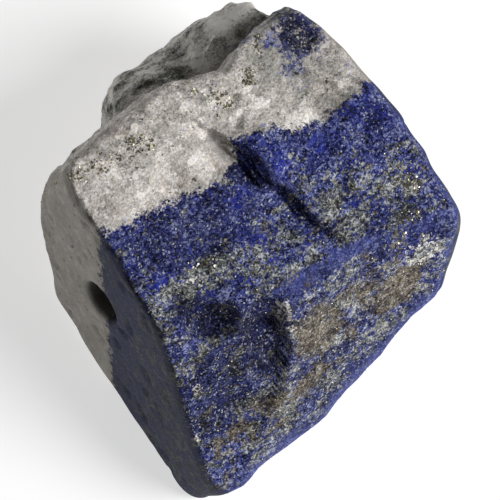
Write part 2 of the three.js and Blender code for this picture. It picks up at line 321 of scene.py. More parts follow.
def outwardNormals(x, y, z, step=0.06):  # slope of the depth along each axis, made one long
    slope = np.stack([
        stoneDepth(x + step, y, z) - stoneDepth(x - step, y, z),
        stoneDepth(x, y + step, z) - stoneDepth(x, y - step, z),
        stoneDepth(x, y, z + step) - stoneDepth(x, y, z - step),
    ])
    return slope / np.linalg.norm(slope, axis=0)


# Size across and half height of the broken faces' fine relief, in millimetres.
grain = {
    "coarse": (1.15, 0.11), "middle": (0.52, 0.085), "fine": (0.27, 0.05),
    "terrace": (2.3, 3.2, 0.09), "terraceEdge": (0.35, 0.65),  # size, steps, height; where a step climbs
    "ridges": (0.5, 0.28, 0.16),  # size, how much slower they change along x, half height
    "pits": (0.75, 0.86, 0.16), "pitSoftness": 0.45,  # size, share of the surface left whole, depth
    "starts": {"rough": 9, "terrace": 31, "ridges": 83, "pits": 57},  # so that they don't fall together
    "sawnShare": 0.1, "wornShare": 0.25,  # what is left of them on sawn and worn faces
}


def fineRelief(x, y, z, sawn, worn, ledge):
    # Three sizes of lumps and a terraced one on the broken faces, long ridges on the ledge, and
    # scattered pits on the sawn faces.
    starts = grain["starts"]
    rough = sum(grain[size][1] * lumpsInSpace(x + starts["rough"], y, z, grain[size][0])
                for size in ("coarse", "middle", "fine"))
    across, steps, height = grain["terrace"]
    level = lumpsInSpace(x, y + starts["terrace"], z, across) * steps
    terrace = np.floor(level) + easeStep(*grain["terraceEdge"], level - np.floor(level))
    rough = rough + height * (terrace / steps)
    across, slower, height = grain["ridges"]
    rough = rough + ledge * height * lumpsInSpace(x * slower, y + starts["ridges"], z, across)
    across, whole, depth = grain["pits"]
    pitted = lumpsInSpace(x, y, z + starts["pits"], across)
    pits = -depth * easeStep(whole - grain["pitSoftness"], whole, pitted)
    rough = rough * (1 - (1 - grain["wornShare"]) * worn)
    return rough * (1 - (1 - grain["sawnShare"]) * sawn) + pits * sawn


def addObject(name, data):
    piece = bpy.data.objects.new(name, data)
    bpy.context.scene.collection.objects.link(piece)
    return piece


def addMesh(name, points, faces):
    mesh = bpy.data.meshes.new(name)
    mesh.from_pydata(points, [], faces)
    return addObject(name, mesh)


def closedGrid(name, x, y, z, values):
    # Mesh of quads over a grid that closes on itself both ways, with one value per point for each name.
    rows, columns = x.shape
    index = np.arange(rows * columns).reshape(rows, columns)
    down, right = np.roll(index, -1, 0), np.roll(index, -1, 1)
    quads = np.stack([index, down, np.roll(right, -1, 0), right], -1).reshape(-1, 4)
    mesh = bpy.data.meshes.new(name)
    mesh.vertices.add(rows * columns)
    mesh.vertices.foreach_set("co", (np.stack([x, y, z], -1) * mm).ravel())
    mesh.loops.add(quads.size)
    mesh.loops.foreach_set("vertex_index", quads.ravel())
    mesh.polygons.add(len(quads))
    mesh.polygons.foreach_set("loop_start", np.arange(len(quads)) * 4)
    mesh.polygons.foreach_set("use_smooth", np.ones(len(quads), bool))
    mesh.update(calc_edges=True)
    for key, value in values.items():
        mesh.attributes.new(key, "FLOAT", "POINT").data.foreach_set("value", value.ravel())
    return addObject(name, mesh)


# Colour zones in millimetres. Patches are x, y, width, length, turn in degrees and amount.
zones = {
    "layerZ": 0.61, "layerY": -3.85,  # the calcite lies beyond y = layerY + layerZ z, and this wave in x
    "layerWave": [[-10.35, 0.1], [-8.3, -0.3], [-5.9, -0.45], [-3.6, -0.75], [-1.9, -1.15], [-0.8, -0.4],
                  [0, 0.1], [2.7, -0.3], [3.3, -1], [5.4, -1.4], [6.8, -1.55], [7.9, -1.3], [9.3, -0.95]],
    "blueBand": 2.4,  # depth of the saturated band under the calcite
    "bluePatch": [(7.8, 8.6, 3.2, 3.8, -10, 1), (6.3, 7.4, 2, 3.2, -30, 0.62),
                  (4.5, 10.2, 2.8, 0.9, 10, 0.6), (5.8, 9.3, 2.6, 1.6, 20, 0.55)],
    "pale": [(-6.8, -0.7, 5.6, 2, -13, 0.8), (-9.1, -6.4, 0.9, 0.9, 0, 1), (-10.1, -8.6, 0.9, 0.9, 0, 1),
             (-2.8, -5.6, 0.7, 2.6, 10, 0.9), (6.9, -6.6, 2.8, 2, -20, 0.9), (2.6, -6.6, 9, 3.6, 14, 0.6),
             (5.4, -1.7, 8, 3.4, -8, 0.75), (0.6, -2.6, 3.6, 1.6, -25, 0.5), (-4, -0.8, 6, 2.2, -12, 0.5),
             (-5, -9.7, 5, 3.4, 20, 1), (-2.4, -10, 5.5, 2.4, 5, 0.6)],
    # dark: mostly painted shade, in the hollows, the crack's trough and over the lower left, and dark stone
    # in the blue patch's core
    "dark": [(-7, -2.8, 4.4, 2.5, -44, 1.2), (-4.2, -5.8, 2.8, 5.2, -8, 1.05), (-5.2, -4.3, 2.4, 1.9, 0, 1),
             (8.4, 1.6, 2.2, 2.2, 0, 0.5), (-0.4, 3.3, 1.7, 3, 25, 0.85), (7.8, 8.6, 2.5, 2.9, 0, 1.1),
             (-5.6, 2, 10.5, 3.8, -6, 0.5), (-7, -7, 6.4, 6.6, 0, 0.74)],
    "weathered": [(7.6, 10.1, 3.2, 1.1, -14, 0.85), (5.9, 9.8, 1.6, 0.6, -10, 0.7)],
    "frost": [(-6.75, -0.7, 2, 1.1, -13, 0.7), (-9.1, -6, 0.8, 1.6, 0, 0.8), (-10, -8.6, 0.8, 1, 0, 0.8),
              (-2.8, -5.4, 0.6, 3, 8, 0.9), (6.9, -6.6, 2.8, 2.2, -20, 0.8), (-0.6, -5, 2.4, 0.9, 30, 0.5),
              (-6.9, 5.6, 6, 4, -30, 0.7), (-9, 7.3, 1.5, 1.2, 0, 1), (-9.1, 5.4, 1.8, 2, 0, 1),
              (-3.9, 7, 3, 1.9, -20, 0.8), (-2.4, 5.1, 2.6, 1.9, -20, 0.7), (1.8, 6.3, 2.6, 1.5, -10, 0.9),
              (4.4, 4.1, 2.6, 1.3, -10, 0.9), (-1, 8.2, 1.4, 1, 0, 0.6), (5.9, 11.6, 3.6, 1.8, -10, 1)],
    "ash": [(5.6, 8.2, 4.8, 3.2, -20, 0.8), (-6, 6.2, 0.5, 3.4, -35, 0.6), (-0.4, 5.9, 1.4, 1.6, 0, 0.5),
            (4.1, 7.1, 2.4, 2, 0, 0.6), (5.6, 5.8, 3.4, 1.4, -10, 0.6), (7.6, 4.6, 3, 2.4, 0, 0.7),
            (-5.8, 8.6, 2, 0.8, 0, 0.6)],
    "brown": [(-1, -7.2, 4.2, 3, 0, 1.1), (4.8, -7.7, 4.4, 2.1, 15, 1.1), (2.4, -7.2, 8.5, 4.4, 12, 0.6),
              (-2.1, -9.2, 3.4, 1, 15, 0.9), (-4.8, -9.7, 9, 2.6, 6, 0.7)],
    "gold": [(-5, 8, 2, 1.2, -33, 1), (-8.1, 8.2, 3.6, 1.1, -11, 0.8), (-0.4, 9.2, 1.1, 0.8, 57, 1),
             (1.1, 7.7, 2.2, 1.4, -50, 1), (3.1, 7.9, 1.8, 1, 57, 1), (4.9, 9.1, 1.8, 0.6, 57, 0.7),
             (-8.8, 1.4, 0.8, 0.5, 0, 0.8), (-5.8, 0.1, 2.6, 0.7, -18, 0.9), (-0.1, 0.3, 0.7, 0.5, 0, 0.9),
             (-3.9, 0.4, 0.8, 0.7, 0, 0.7), (-2.4, -2.2, 0.9, 0.5, 0, 0.7), (7.9, -1.7, 1.6, 1, -20, 1),
             (8.1, -2.9, 1.3, 1, 0, 0.9), (6, -1.8, 1, 0.7, 0, 0.9), (6.9, -4.4, 1.5, 1.1, -10, 1),
             (5.7, -5, 1.1, 0.8, 0, 1), (8.4, -0.5, 1.6, 0.6, -10, 0.8), (3.5, -0.8, 2.5, 1.2, 0, 0.4)],
    # how strong these lines are, and how far they lie from the edges that they follow
    # the crack's strip is painted shade in its crevice
    "crackShade": 0.65, "edgeFrost": 0.85, "slabHighlight": 0.6,
    "crackFrom": 0.15, "farEdgeFrom": 0.3, "crestFrom": 0.2, "slabFrom": 0.2,
    "greyFar": 0.22, "greyFade": 0.6, "greyPatch": 0.5, "greyDark": 0.1,  # colour lost in these places
    "ridgeFade": 0.55, "ridgeInMottle": 0.8, "crestLeast": 0.6, "leastMottle": 0.2,
    # size across and share of the lumps that break these up
    "uneven": {"dark": (0.7, 0.2), "ridge": (0.8, 0.2)}, "goldLumps": 0.4, "rimLumps": (1.3, 0.35),
}

# Where each of these begins and where it is full, in millimetres: along the axis that its name
# ends in, or as a distance from the line or face that it is named for.
spans = {
    "patch": (1.35, 0.55), "patchZ": (4, 7),  # the first in shares of the ellipse
    "sawn": (-0.35, 0.1), "hole": (0.25, 0.05), "bore": (0.3, -0.05),
    "rim": (0.8, 0.1), "rimSmooth": (1.1, 0.4), "underFront": (2.4, 1),
    "ledge": (0.1, 0.6), "ledgeZ": (6, 8), "crest": (0.3, 1.7), "crestX": (-1, 4),
    "restZ": (0.5, 0), "mottle": (0, 2.2), "lowY": (-1.5, -3.5),
    "ridge": (0.7, 0.1), "ridgeX": (-4, -1), "ridgeZ": (11, 13), "ridgeFadeX": (3.5, 5.5),
    "crack": (0.5, 0.15), "crackY": (-4.4, -3.4), "crackEndY": (5, 3.5), "crackZ": (11, 12.5),
    "slab": (0.25, 0.05), "slabY": (-0.5, 1), "slabEndY": (4.2, 3.2),
    "farEdge": (0.5, 0.1), "farEdgeY": (-7.6, -6.4), "farEdgeEndY": (-3.2, -3.9), "farEdgeZ": (8, 10),
    "far": (-0.2, 0.3), "underCrest": (0.1, -0.5), "farZ": (3, 6), "greyFadeX": (3.5, 6.5),
    "plusEnd": (-0.9, -0.2), "plusEndX": (0, 2), "goldLumps": (-0.5, 0.3),
}


def span(name, v):  # eased from 0 where it begins to 1 where it is full
    return easeStep(*spans[name], v)


def within(**places):  # the product of the spans of these names
    return math.prod(span(name, v) for name, v in places.items())


def uneven(name, x, y, z):  # lumps between 1 - twice the share and 1
    across, share = zones["uneven"][name]
    return 1 - share + share * lumpsInSpace(x, y, z, across)


def inPatches(name, x, y, z):  # the largest of the patches' amounts, fading out past each ellipse's rim
    most = 0 * x
    for *ellipse, amount in zones[name]:
        most = np.maximum(most, amount * span("patch", np.hypot(*acrossEllipse(ellipse, x, y))))
    return most * span("patchZ", z)


def wornRidge(x, y, z):  # a strip along the crest, fainter towards +X, where wear and a painted sheen lie
    strip = within(ridge=np.abs(y - farCrestY(x) - zones["crestFrom"]), ridgeX=x, ridgeZ=z)
    return strip * (1 - zones["ridgeFade"] * span("ridgeFadeX", x)) * uneven("ridge", x, y, z)


def wornRim(x, y, z):  # a strip along the -Y rim, its width varied by lumps, where wear and a painted sheen lie
    across, height = zones["rimLumps"]
    inward = y - rimSideY(x, z) + height * lumpsInSpace(x, y, z, across)
    return within(rim=inward, underFront=frontZ(x, y) - z)


def wornSlab(x, y, z):  # a thin line along the slab's upper edge: a painted highlight
    beside = np.abs(x - along(stone["crackX"], y) - zones["slabFrom"])
    return zones["slabHighlight"] * within(slab=beside, slabY=y, slabEndY=y, crackZ=z)


def crackShadeStrip(x, y, z):  # a strip along the crack, where painted shade darkens its crevice
    beside = np.abs(x - along(stone["crackX"], y) + zones["crackFrom"])
    return within(crack=beside, crackY=y, crackEndY=y, crackZ=z)


def frostedEdge(beyondEdge, y, z):  # a strip along the far facet's edge
    beside = np.abs(beyondEdge - zones["farEdgeFrom"])
    return zones["edgeFrost"] * within(farEdge=beside, farEdgeY=y, farEdgeEndY=y, farEdgeZ=z)


def onFarFacet(beyondEdge, x, y, z):  # beyond its edge and under the crest
    return within(far=beyondEdge, underCrest=y - farCrestY(x), farZ=z)


def colourValues(x, y, z, sawn, ledge, crest, rim, beyondEdge):
    # One value per point for each thing that the material reads, mostly from 0 to 1. Those that
    # come in were measured on the stone before its fine relief.
    ridge = wornRidge(x, y, z)
    values = {name: inPatches(name, x, y, z)
              for name in ("bluePatch", "frost", "ash", "pale", "dark", "brown", "gold")}
    values["calcite"] = y - (zones["layerY"] + zones["layerZ"] * z + along(zones["layerWave"], x))
    mottle = span("mottle", -values["calcite"] - zones["blueBand"])
    values["mottle"] = mottle * (1 - zones["ridgeInMottle"] * ridge)
    values["sawn"] = sawn
    # dark stone and painted shade, with painted shade along the crack's crevice
    values["dark"] = values["dark"] * uneven("dark", x, y, z)
    values["dark"] = np.maximum(values["dark"], zones["crackShade"] * crackShadeStrip(x, y, z))
    values["gold"] = values["gold"] * span("goldLumps", lumpsInSpace(x, y, z, zones["goldLumps"]))
    values["frost"] = np.maximum(values["frost"], frostedEdge(beyondEdge, y, z))
    values["far"] = onFarFacet(beyondEdge, x, y, z)
    values["grey"] = np.maximum.reduce([
        zones["greyFar"] * values["far"] * (1 - zones["greyFade"] * span("greyFadeX", x)),
        zones["greyPatch"] * values["bluePatch"], zones["greyDark"] * values["dark"],
    ])
    values["low"] = span("lowY", y)
    values["ledge"] = np.maximum(ledge, inPatches("weathered", x, y, z))
    # lighter away from the wall's foot and towards +X: painted light on the crest and painted shade in the
    # valley, over the ledge's own mottling
    values["crest"] = crest * zones["crestLeast"] * (1 + span("crestX", x))
    plusEnd = within(plusEnd=endDepth(x, y, z), plusEndX=x) * (1 - sawn)
    # worn edges, which also carry a painted lavender sheen and, on the slab's edge, a painted highlight
    values["worn"] = np.maximum.reduce([ridge, rim, plusEnd, wornSlab(x, y, z)])
    # painted shade inside the hole
    values["bore"] = span("bore", offAxis(y, z) - stone["holeRadius"])
    return values


def buildStone():
    x, y, z = stonePoints()
    nx, ny, nz = outwardNormals(x, y, z)
    sawn = span("sawn", endDepth(x, y, z) - brokenDepth(x, y, z))
    sawn = np.maximum(sawn, span("hole", offAxis(y, z) - stone["holeRadius"]))
    beyondWall = y - along(stone["wallY"], x)
    measured = {"sawn": sawn, "ledge": within(ledge=beyondWall, ledgeZ=z),
                "crest": span("crest", beyondWall), "rim": wornRim(x, y, z),
                "beyondEdge": x - along(stone["farEdge"], y)}
    raised = fineRelief(x, y, z, sawn, span("rimSmooth", y - rimSideY(x, z)), measured["ledge"])
    raised = raised * (1 - span("restZ", z))  # the resting face stays level
    x, y, z = x + nx * raised, y + ny * raised, np.maximum(z + nz * raised, 0)
    values = colourValues(x, y, z, **measured)
    piece = closedGrid("lapis_skin", x, y, z, values)
    print("stone mesh:", len(piece.data.vertices), "points")
    places = np.stack([x, y, z], -1)
    sides = np.roll(places, -1, 0) - places, np.roll(places, -1, 1) - places
    area = np.linalg.norm(np.cross(*sides), axis=-1)
    normals = np.stack([nx, ny, nz], -1).reshape(-1, 3)
    leastMottle = zones["leastMottle"]
    return piece, {"points": places, "normals": normals, "area": area, "gold": values["gold"],
                   "sawn": sawn, "mottle": leastMottle + (1 - leastMottle) * values["mottle"]}


def linear(*colour):  # screen values from 0 to 255, turned to light by the usual curve
    return tuple(((v / 255 + 0.055) / 1.055) ** 2.4 if v > 10 else v / 255 / 12.92 for v in colour)


class NodeBench:  # short ways to add nodes to one material
    def __init__(self, name):
        self.material = bpy.data.materials.new(name)
        self.material.use_nodes = True
        self.tree = self.material.node_tree
        self.shader = self.tree.nodes["Principled BSDF"]

    def put(self, socket, value):  # links a socket, or sets a number or colour
        if isinstance(value, bpy.types.NodeSocket):
            self.tree.links.new(value, socket)
        else:
            socket.default_value = value

    def fill(self, node, inputs):
        for name, value in inputs.items():
            self.put(node.inputs[name], value)
        return node

    def surface(self, inputs):  # what the shader itself is given
        self.fill(self.shader, inputs)
        return self.material

    def add(self, kind, settings=(), **inputs):
        made = self.tree.nodes.new("ShaderNode" + kind)
        for key, value in dict(settings).items():
            setattr(made, key, value)
        return self.fill(made, inputs)

    def join(self, kind, settings, values, sockets=(0, 1, 2)):  # values for sockets known by number
        made = self.add(kind, settings)
        for number, value in zip(sockets, values):
            self.put(made.inputs[number], value)
        return made.outputs

    def sum(self, operation, *values):
        return self.join("Math", {"operation": operation}, values)[0]

    def vector(self, operation, *values):
        return self.join("VectorMath", {"operation": operation}, values)[0]

    def scaled(self, vector, share):
        return self.join("VectorMath", {"operation": "SCALE"}, (vector, share), (0, 3))[0]

    def mix(self, share, a, b, blend="MIX"):
        settings = {"data_type": "RGBA", "blend_type": blend}
        return self.join("Mix", settings, (share, a, b), (0, 6, 7))[2]

    def ramp(self, value, stops):  # stops are (place, colour) pairs
        made = self.add("ValToRGB", Fac=value)
        marks = made.color_ramp.elements
        while len(marks) < len(stops):
            marks.new(0.5)
        for mark, (place, colour) in zip(marks, stops):
            mark.position, mark.color = place, (*linear(*colour), 1)
        return made.outputs["Color"]

    def rise(self, value, low, high):  # eased from 0 at low to 1 at high
        made = self.add("MapRange", {"interpolation_type": "SMOOTHSTEP"}, Value=value)
        made.inputs["From Min"].default_value = low
        made.inputs["From Max"].default_value = high
        return made.outputs["Result"]

    def part(self, name):  # a value kept on the mesh's points
        return self.add("Attribute", {"attribute_name": name}).outputs["Fac"]

    def noise(self, place, across, detail, roughness=0.55):
        return self.add("TexNoise", Vector=place, Scale=1 / across, Detail=detail,
                        Roughness=roughness).outputs["Fac"]

    def cells(self, place, across):  # two random values of each grain, and all three as a vector
        made = self.add("TexVoronoi", Vector=place, Scale=1 / across)
        split = self.add("SeparateColor", Color=made.outputs["Color"])
        return split.outputs["Red"], split.outputs["Green"], made.outputs["Color"]


lapis = {
    # Colours as they show on the stone in full light, dark to pale. The grains' random shade has its
    # middle at 0.5 and most of them lie between 0.2 and 0.8.
    "paint": {
        "blue": [(0.1, (14, 18, 54)), (0.24, (26, 32, 84)), (0.37, (38, 45, 105)), (0.5, (52, 60, 120)),
                 (0.63, (68, 76, 134)), (0.77, (90, 98, 150)), (0.92, (132, 140, 180))],
        "pale": [(0.1, (52, 57, 63)), (0.3, (84, 88, 92)), (0.5, (117, 120, 119)), (0.7, (150, 152, 149)),
                 (0.9, (194, 196, 198))],
        "olive": [(0.1, (18, 18, 22)), (0.35, (44, 44, 44)), (0.55, (68, 66, 60)), (0.75, (100, 96, 82)),
                  (0.95, (142, 136, 114))],
        "brown": [(0.1, (42, 37, 33)), (0.3, (76, 67, 54)), (0.5, (103, 91, 71)), (0.7, (121, 109, 86)),
                  (0.92, (154, 144, 126))],
        "calcite": [(0.05, (129, 125, 116)), (0.2, (159, 154, 146)), (0.36, (179, 174, 167)),
                    (0.5, (196, 190, 183)), (0.64, (214, 207, 200)), (0.8, (238, 231, 224)),
                    (0.95, (250, 246, 240))],
        "ledge": [(0.05, (50, 52, 46)), (0.25, (94, 96, 88)), (0.45, (140, 140, 132)),
                  (0.65, (184, 182, 176)), (0.9, (240, 236, 228))],
        # the glint colour is a painted highlight
        "vividBlue": (30, 42, 148), "lavender": (88, 96, 158), "paintedGlint": (225, 228, 240),
        # the bore colour is painted shade inside the hole
        "ash": (124, 126, 120), "beige": (178, 160, 146), "bore": (40, 38, 38),
        "sawnBlue": (68, 70, 74), "sawnWhite": (138, 134, 128),
        "shadow": (0.37, 0.34, 0.29, 1),  # light left in the dark zones
        "inDarkStoneAndShade": {"blue": -0.22, "pale": -0.2},  # how much darker the grains are there, as painted shade and dark stone
        "full": {"shadow": 0.8, "lavender": 0.4, "sawnBlue": 0.76, "sawnWhite": 0.7, "bore": 0.8},
    },
    # How the patterns' coordinates are stretched or moved: grains are longer along the layers, which
    # run along x, and the minerals' streaks are longer still.
    "places": {
        "warp": (3.0, 0.25),  # how fast it changes in a millimetre, and how far it moves them
        "laid": (0.8, 1, 1), "layered": (0.6, 1, 1), "drawn": (0.25, 1, 1), "away": (17, 5, 9),
    },
    "grains": {  # coordinates and size across
        "big": ("laid", 0.27), "small": ("laid", 0.16), "tiny": ("plain", 0.095), "crystal": ("warped", 0.5),
    },
    "clouds": {  # coordinates, size across, detail and roughness
        "clump": ("laid", 1.2, 2, 0.55), "knot": ("laid", 0.5, 1, 0.55),
        "vividCloud": ("moved", 1.6, 3, 0.6), "rustCloud": ("moved", 1.4, 4, 0.55),
        "paleStreak": ("layered", 1.25, 2, 0.6), "oliveStreak": ("layeredMoved", 0.8, 2, 0.6),
        "toneCloud": ("plain", 2.2, 3, 0.55), "ashCloud": ("moved", 1.6, 4, 0.55),
        "beigeCloud": ("warped", 1.9, 3, 0.55), "bump": ("plain", 0.2, 1, 0.55),
        "ledgeCloud": ("moved", 1.5, 4, 0.65), "ledgeStreak": ("drawn", 0.7, 3, 0.6),
    },
    "mixes": {  # what each thing is a mix of, as mixShare reads it
        "shade": {"random": {"big": 0.18, "small": 0.36, "tiny": 0.74, "clump": 0.8, "knot": 0.5}},
        "mixed": {"random": {"smallOther": 0.2, "bigOther": 0.3}},
        "mixedOther": {"random": {"tinyOther": 0.2, "bigOther": -0.3, "small": 0.15}},
        "vivid": {"random": {"tiny": 0.2, "bigOther": 0.3, "vividCloud": 2}, "zones": {"low": -0.16},
                  "span": (0.56, 0.86), "most": 0.7},
        "pale": {"random": {"paleStreak": 1.75, "mixed": 1.4, "tinyOther": 0.12}, "less": 0.12,
                 "zones": {"mottle": 0.24, "pale": 0.2, "dark": -0.15, "worn": -0.25}, "span": (0.62, 0.86)},
        "olive": {"random": {"oliveStreak": 1.7, "mixedOther": 1.3}, "less": 0.11,
                  "zones": {"mottle": 0.16, "worn": -0.25, "dark": -0.1, "pale": -0.08, "gold": 0.24},
                  "span": (0.66, 0.86), "most": 0.85},
        "rust": {"random": {"rustCloud": 1, "mixed": 0.5}, "zones": {"brown": 0.38},
                 "span": (0.66, 0.84), "most": 0.85},
        "chalk": {"random": {"frost": 1, "knot": 1, "small": 0.4, "tiny": 0.3},
                  "span": (0.75, 1.05), "most": 0.8},
        "tone": {"random": {"shade": 0.16, "tiny": 0.24, "crystal": 0.16, "toneCloud": 0.8},
                 "zones": {"frost": 0.2, "brightCrystal": 0.14}},
        "ash": {"random": {"ashCloud": 1.6, "crystalOther": 0.25}, "zones": {"ash": 0.5, "besideBlue": 0.3},
                "span": (0.6, 1.2), "most": 0.7},
        "beige": {"random": {"beigeCloud": 1}, "span": (0.54, 0.72), "most": 0.3},
        "speck": {"random": {"mixedOther": 1.4, "knot": 1.6}, "zones": {"gold": 0.34}, "span": (0.94, 1.06)},
        # the ledge's tone; its crest share is painted light on the crest and painted shade in the valley
        "relic": {"random": {"ledgeCloud": 1.6, "ledgeStreak": 2.1, "tiny": 0.35, "small": 0.15,
                             "big": 0.12}, "less": 0.06, "zones": {"crest": 0.36, "frost": 0.3}},
        "stray": {"random": {"clump": 1.2, "knot": 0.9, "mixed": 0.6, "small": 0.3, "tiny": 0.2}},
        "patch": {"random": {"clump": 1.8, "knot": 1.6, "mixed": 1, "small": 0.6, "tiny": 0.5}, "less": 0.1,
                  "zones": {"bluePatch": 1.4, "ledge": -0.3}, "span": (0.95, 1.5)},
        # painted glints: a few grains painted near white, as if catching the light
        "paintedGlint": {"random": {"tinyOther": 1, "smallOther": 0.3}, "zones": {"whole": 0.05},
                  "span": (0.98, 1)},
        "height": {"random": {"big": 0.05, "small": 0.05, "bump": 0.08}},
        "boundary": (-0.16, 0.28), "besideBlue": (1.1, 0), "brightCrystal": (0.76, 0.86),
    },
    "finish": {
        # how far these are on the way to a sawn face, and what that takes from the grain
        "smoothWorn": 0.3, "smoothFar": 0.2,
        "smoothShade": -0.65, "smoothTilt": -0.9, "smoothHeight": -0.85,
        "tilt": {"big": 0.35, "small": 0.55, "tiny": 0.4}, "crystalTilt": 0.4, "wholeTilt": -0.45,
        "paintedGlint": 0.5, "roughness": (-0.6, 0.5), "specular": 0.25, "bump": 0.8,
    },
}


def mixShare(bench, parts, mixName):
    # 0.5, plus each random value's distance from 0.5 times its weight, plus each zone's value
    # times its weight. A span eases the sum from 0 to 1 over it, and "most" is the most it gives.
    recipe = lapis["mixes"][mixName]
    total = 0.5 - sum(recipe["random"].values()) / 2 - recipe.get("less", 0)
    for name, weight in (*recipe["random"].items(), *recipe.get("zones", {}).items()):
        total = bench.sum("MULTIPLY_ADD", parts[name], weight, total)
    if "span" in recipe:
        total = bench.rise(total, *recipe["span"])
    return bench.sum("MULTIPLY", total, recipe["most"]) if "most" in recipe else total


def paint(name):
    return *linear(*lapis["paint"][name]), 1


def covered(bench, part, body, name):  # under a plain colour, as much as the part times its "full"
    return bench.mix(bench.sum("MULTIPLY", part, lapis["paint"]["full"][name]), body, paint(name))


def lapisParts(bench):
    # All that the mixes are made of: random values of each size of grain, clouds, and zones on the mesh.
    plain = bench.scaled(bench.add("TexCoord").outputs["Object"], 1 / mm)  # in millimetres
    change = lapis["places"]
    speed, reach = change["warp"]
    warp = bench.add("TexNoise", Vector=plain, Scale=speed, Detail=1).outputs["Color"]
    moved = bench.vector("ADD", plain, change["away"])
    layered = bench.vector("MULTIPLY", plain, change["layered"])
    warped = bench.vector("MULTIPLY_ADD", warp, (reach, reach, reach), plain)
    places = {
        "plain": plain, "moved": moved, "layered": layered, "warped": warped,
        "laid": bench.vector("MULTIPLY", warped, change["laid"]),
        "layeredMoved": bench.vector("ADD", layered, change["away"]),
        "drawn": bench.vector("MULTIPLY", moved, change["drawn"]),
    }
    parts, tilts = {}, {}
    for name, (place, across) in lapis["grains"].items():
        parts[name], parts[name + "Other"], tilts[name] = bench.cells(places[place], across)
    for name, (place, *shape) in lapis["clouds"].items():
        parts[name] = bench.noise(places[place], *shape)
    for name in ("sawn", "worn", "mottle", "far", "dark", "gold", "low", "pale", "brown", "frost", "grey",
                 "calcite", "ash", "crest", "ledge", "bluePatch", "bore"):
        parts[name] = bench.part(name)
    return parts, tilts


def blueBody(bench, parts, even):
    # Lazurite, with pale and olive minerals among it, a brown stain and chalk, then darker under dark stone
    # and painted shade, lavender where wear and a painted sheen lie, or sawn.
    shade = parts["shade"]

    # grains darker where dark stone and painted shade lie
    def darker(name):
        inDarkStoneAndShade = bench.sum("MULTIPLY_ADD", parts["dark"], lapis["paint"]["inDarkStoneAndShade"][name], shade)
        return bench.ramp(inDarkStoneAndShade, lapis["paint"][name])

    vivid = bench.sum("MULTIPLY", mixShare(bench, parts, "vivid"), even)
    body = bench.mix(vivid, darker("blue"), paint("vividBlue"))
    body = bench.mix(mixShare(bench, parts, "pale"), body, darker("pale"))
    for mixName, paintName in (("olive", "olive"), ("rust", "brown"), ("chalk", "calcite")):
        colour = bench.ramp(shade, lapis["paint"][paintName])
        body = bench.mix(mixShare(bench, parts, mixName), body, colour)
    body = bench.mix(parts["grey"], body, bench.add("RGBToBW", Color=body).outputs["Val"])
    # painted shade, with dark stone, multiplied into the colour
    shadow = bench.sum("MULTIPLY", parts["dark"], lapis["paint"]["full"]["shadow"])
    body = bench.mix(shadow, body, lapis["paint"]["shadow"], "MULTIPLY")
    # lavender over worn edges: a painted sheen, with the wear itself
    body = covered(bench, parts["worn"], body, "lavender")
    return covered(bench, parts["sawn"], body, "sawnBlue")


def whiteBody(bench, parts):
    # Calcite: larger crystals, ash and beige clouds, an ashy band beside the lazurite, olive specks,
    # the weathered ledge, and the sawn face.
    parts["brightCrystal"] = bench.rise(parts["crystal"], *lapis["mixes"]["brightCrystal"])
    parts["besideBlue"] = bench.rise(parts["calcite"], *lapis["mixes"]["besideBlue"])
    body = bench.ramp(mixShare(bench, parts, "tone"), lapis["paint"]["calcite"])
    for name in ("ash", "beige"):
        body = bench.mix(mixShare(bench, parts, name), body, paint(name))
    olive = bench.ramp(parts["shade"], lapis["paint"]["olive"])
    body = bench.mix(mixShare(bench, parts, "speck"), body, olive)
    relic = bench.ramp(mixShare(bench, parts, "relic"), lapis["paint"]["ledge"])
    body = bench.mix(parts["ledge"], body, relic)
    return covered(bench, parts["sawn"], body, "sawnWhite")


def calciteShare(bench, parts):
    # 1 beyond the wavy boundary, with stray grains beside it, times 1 less the blue patch in it.
    stray = bench.sum("SUBTRACT", mixShare(bench, parts, "stray"), 0.5)
    whole = bench.rise(bench.sum("ADD", parts["calcite"], stray), *lapis["mixes"]["boundary"])
    return bench.sum("MULTIPLY", whole, bench.sum("SUBTRACT", 1, mixShare(bench, parts, "patch")))


def grainNormal(bench, parts, tilts, smooth):
    # Each grain's normal is the surface's plus a random tilt, less the tilt's middle, and bumps on it.
    finish, whole = lapis["finish"], parts["whole"]
    crystalTilt = finish["crystalTilt"]
    tilt = bench.scaled(tilts["crystal"], bench.sum("MULTIPLY", whole, crystalTilt))
    for name, weight in finish["tilt"].items():
        tilt = bench.vector("ADD", tilt, bench.scaled(tilts[name], weight))
    middle = bench.sum("MULTIPLY_ADD", whole, crystalTilt / 2, sum(finish["tilt"].values()) / 2)
    tilt = bench.vector("SUBTRACT", tilt, bench.add("CombineXYZ", X=middle, Y=middle, Z=middle).outputs[0])
    for value, less in ((smooth, finish["smoothTilt"]), (whole, finish["wholeTilt"])):
        tilt = bench.scaled(tilt, bench.sum("MULTIPLY_ADD", value, less, 1))
    normal = bench.vector("NORMALIZE", bench.vector("ADD", bench.add("NewGeometry").outputs["Normal"], tilt))
    height = mixShare(bench, parts, "height")
    height = bench.sum("MULTIPLY", height, bench.sum("MULTIPLY_ADD", smooth, finish["smoothHeight"], 1))
    bump = bench.add("Bump", Height=height, Distance=mm, Strength=finish["bump"], Normal=normal)
    return bump.outputs["Normal"]


